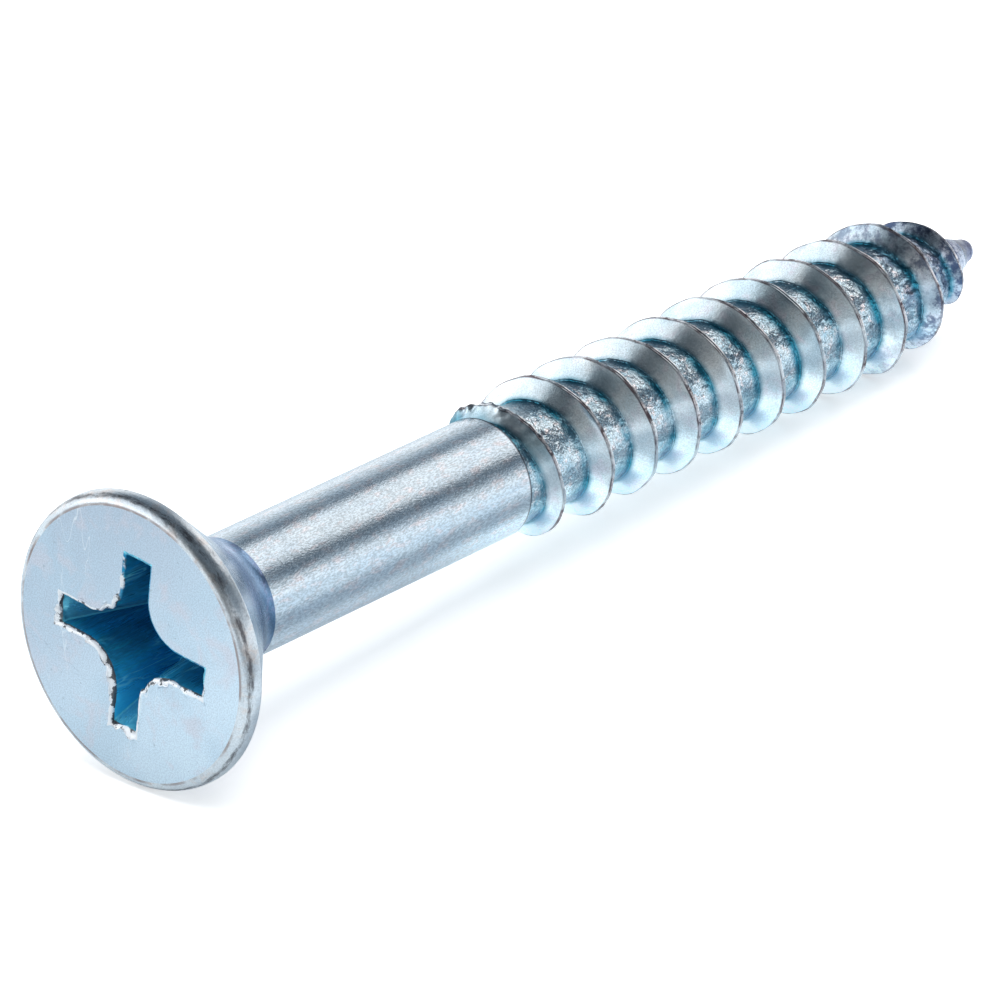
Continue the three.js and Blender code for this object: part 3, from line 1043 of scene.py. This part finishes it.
def floorColours(tree):
    # the metal mirrors a darker floor than the one that is looked at, as if grey cards lay beside
    # the shank and a bright strip beneath the thread. Returns its colour and its glow
    u = stageUser
    far = tree.times(tree.step("Y", -24, -13, 1.0, 0.0), tree.step("X", 18, 28, 1.0, 0.0))
    across = tree.split(tree.objectPlace())["Y"]
    across = tree.mapRange(across, u["cardsStart"] * mm, u["cardsEnd"] * mm, curve="LINEAR")
    cards = tree.mix(tree.step("X", -1, 3), u["floorFront"], tree.ramp(across, u["floorMirrored"]))
    # painted light: outside its far part the floor glows faintly for every ray but the camera's
    glow = tree.mix(far, u["floorMirroredGlow"], (0, 0, 0))
    beneath = tree.times(tree.step("X", 14.5, 19.5), tree.step("Y", -4.5, -2.8))
    beneath = tree.times(beneath, tree.step("Y", 2, 8, 1.0, 0.0))
    return tree.mix(far, cards, u["floorFar"]), tree.mix(beneath, glow, u["floorGlow"])


def makeFloor():
    # flat under the head and under the point, with a low ramp between them that the screw lies on
    u = stageUser
    headFoot, pointFoot = -headRadius - u["headGap"], -crestRadius - u["pointGap"]
    x = np.linspace(u["rampStart"], u["rampEnd"], 40)
    x = np.concatenate([[-u["floorSize"]], x, [u["floorSize"]]])
    part = np.clip((x - u["rampStart"]) / (u["rampEnd"] - u["rampStart"]), 0, 1)
    z = headFoot + (pointFoot - headFoot) * part
    y = np.array([-1, 1]) * u["floorSize"]
    points = np.stack([np.repeat(x, 2), np.tile(y, len(x)), np.repeat(z, 2)], 1)
    index = np.arange(len(points)).reshape(-1, 2)
    faces = np.stack([index[:-1, 0], index[1:, 0], index[1:, 1], index[:-1, 1]], 1)
    mesh = bpy.data.meshes.new("floor")
    mesh.from_pydata((points * mm).tolist(), [], faces.tolist())
    floor = bpy.data.objects.new("floor", mesh)
    bpy.context.scene.collection.objects.link(floor)
    material = bpy.data.materials.new("paleFloor")
    material.use_nodes = True
    tree = Tree(material.node_tree)
    shader = material.node_tree.nodes["Principled BSDF"].inputs
    looked = tree.node("ShaderNodeLightPath").outputs["Is Camera Ray"]
    mirrored, glow = floorColours(tree)
    tree.feed(shader["Base Color"], tree.mix(looked, mirrored, u["floorSeen"]))
    tree.feed(shader["Emission Color"], tree.mix(looked, glow, (1, 1, 1)))
    shader["Emission Strength"].default_value = u["shadowLift"]
    shader["Roughness"].default_value = 0.9
    shader["Specular IOR Level"].default_value = 0.1
    mesh.materials.append(material)


def turnTowards(thing, direction):
    # a light or the camera looks along its own -Z
    thing.rotation_mode = "QUATERNION"
    thing.rotation_quaternion = direction.to_track_quat("-Z", "Y")


lightsUser = {
    "overheadBox": {
        "direction": (0.7, -0.13, 0.708), "distance": 400, "size": (290, 178),
        "radiance": 1.22, "colour": (1, 0.965, 0.93), "mirrored": True,
    },
    "backLeftBox": {
        "direction": (-0.58, 0.6, 0.5), "distance": 420, "size": (380, 320),
        "radiance": 1.0, "colour": (0.95, 0.98, 1), "mirrored": True,
    },
    "floorFill": {
        "direction": (0, 0, 1), "distance": 600, "size": (700, 700),
        "radiance": 3.2, "colour": (1, 1, 1), "mirrored": False,
    },
}


def softBox(name, direction, distance, size, radiance, colour, mirrored):
    # a rectangular light that faces the middle of the screw. radiance is how bright it looks
    data = bpy.data.lights.new(name, "AREA")
    data.shape = "RECTANGLE"
    data.size, data.size_y = size[0] * mm, size[1] * mm
    data.energy = radiance * math.pi * data.size * data.size_y
    data.color = colour
    light = bpy.data.objects.new(name, data)
    bpy.context.scene.collection.objects.link(light)
    unit = np.array(direction, float) / np.linalg.norm(direction)
    middle = np.array([screwLength / 2, 0, 0])
    light.location = (middle + unit * distance) * mm
    turnTowards(light, Vector(middle * mm) - light.location)
    light.visible_camera = False
    light.visible_glossy = mirrored


worldUser = {
    # how bright each height of the studio wall is, from straight down at 0 to overhead at 1
    "stops": [
        (0.0, (0.9, 0.9, 0.92)), (0.48, (1.3, 1.32, 1.34)), (0.54, (1.42, 1.43, 1.44)),
        (0.6, (1.1, 1.12, 1.14)), (0.67, (0.82, 0.88, 0.92)), (0.715, (0.5, 0.58, 0.65)),
        (0.76, (0.15, 0.2, 0.25)), (1.0, (0.1, 0.13, 0.16)),
    ],
    "squeeze": (0.5, -0.16),  # how much lower the bands sit on the near wall and on the far one
    "shaded": (-0.9, -0.25, 0.35),
    "shade": 0.76,
}


def makeWorld():
    # a studio wall, bright at the horizon and dark above it. On the side of the thread the bands
    # sit lower nearby and higher far off, and a patch in front of the head is shaded
    world = bpy.data.worlds.new("studio")
    bpy.context.scene.world = world
    world.use_nodes = True
    tree = Tree(world.node_tree)
    direction = tree.node("ShaderNodeTexCoord").outputs["Generated"]
    axes = tree.split(direction)
    lower = tree.mapRange(axes["Y"], -0.6, 0.3, *worldUser["squeeze"])
    lower = tree.times(lower, tree.mapRange(axes["X"], -0.4, 0.4))
    height = tree.maths("ADD", axes["Z"], tree.times(lower, axes["Z"]))
    place = tree.maths("ADD", tree.times(height, 0.5), 0.5)
    towards = tree.dot(direction, worldUser["shaded"])
    facing = tree.mapRange(towards, 0.66, 0.96, 0.0, worldUser["shade"])
    raised = tree.mapRange(axes["Z"], -0.08, 0.05)
    background = world.node_tree.nodes["Background"]
    tree.feed(background.inputs["Color"], tree.ramp(place, worldUser["stops"]))
    tree.feed(background.inputs["Strength"], tree.maths("SUBTRACT", 1.0, tree.times(facing, raised)))


cameraUser = {
    "place": (-165.6, -156.4, 105.8),
    "facing": (0.6966, 0.5923, -0.4048),
    "sensor": 36,
    "lens": 281.2,
    "clip": (0.005, 20),  # metres
}


def makeCamera():
    data = bpy.data.cameras.new("camera")
    camera = bpy.data.objects.new("camera", data)
    bpy.context.scene.collection.objects.link(camera)
    data.sensor_width = cameraUser["sensor"]
    data.lens = cameraUser["lens"]
    data.clip_start, data.clip_end = cameraUser["clip"]
    camera.location = Vector(cameraUser["place"]) * mm
    turnTowards(camera, Vector(cameraUser["facing"]).normalized())
    bpy.context.scene.camera = camera


bpy.context.scene.view_settings.view_transform = "Standard"
makeCamera()
makeFloor()
for lightName, lightUser in lightsUser.items():
    softBox(lightName, **lightUser)
makeWorld()
print("stage made")
screw = makeScrew()
dressScrew(screw)
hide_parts("screw_body")
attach(screw, "root")
print("screw made")
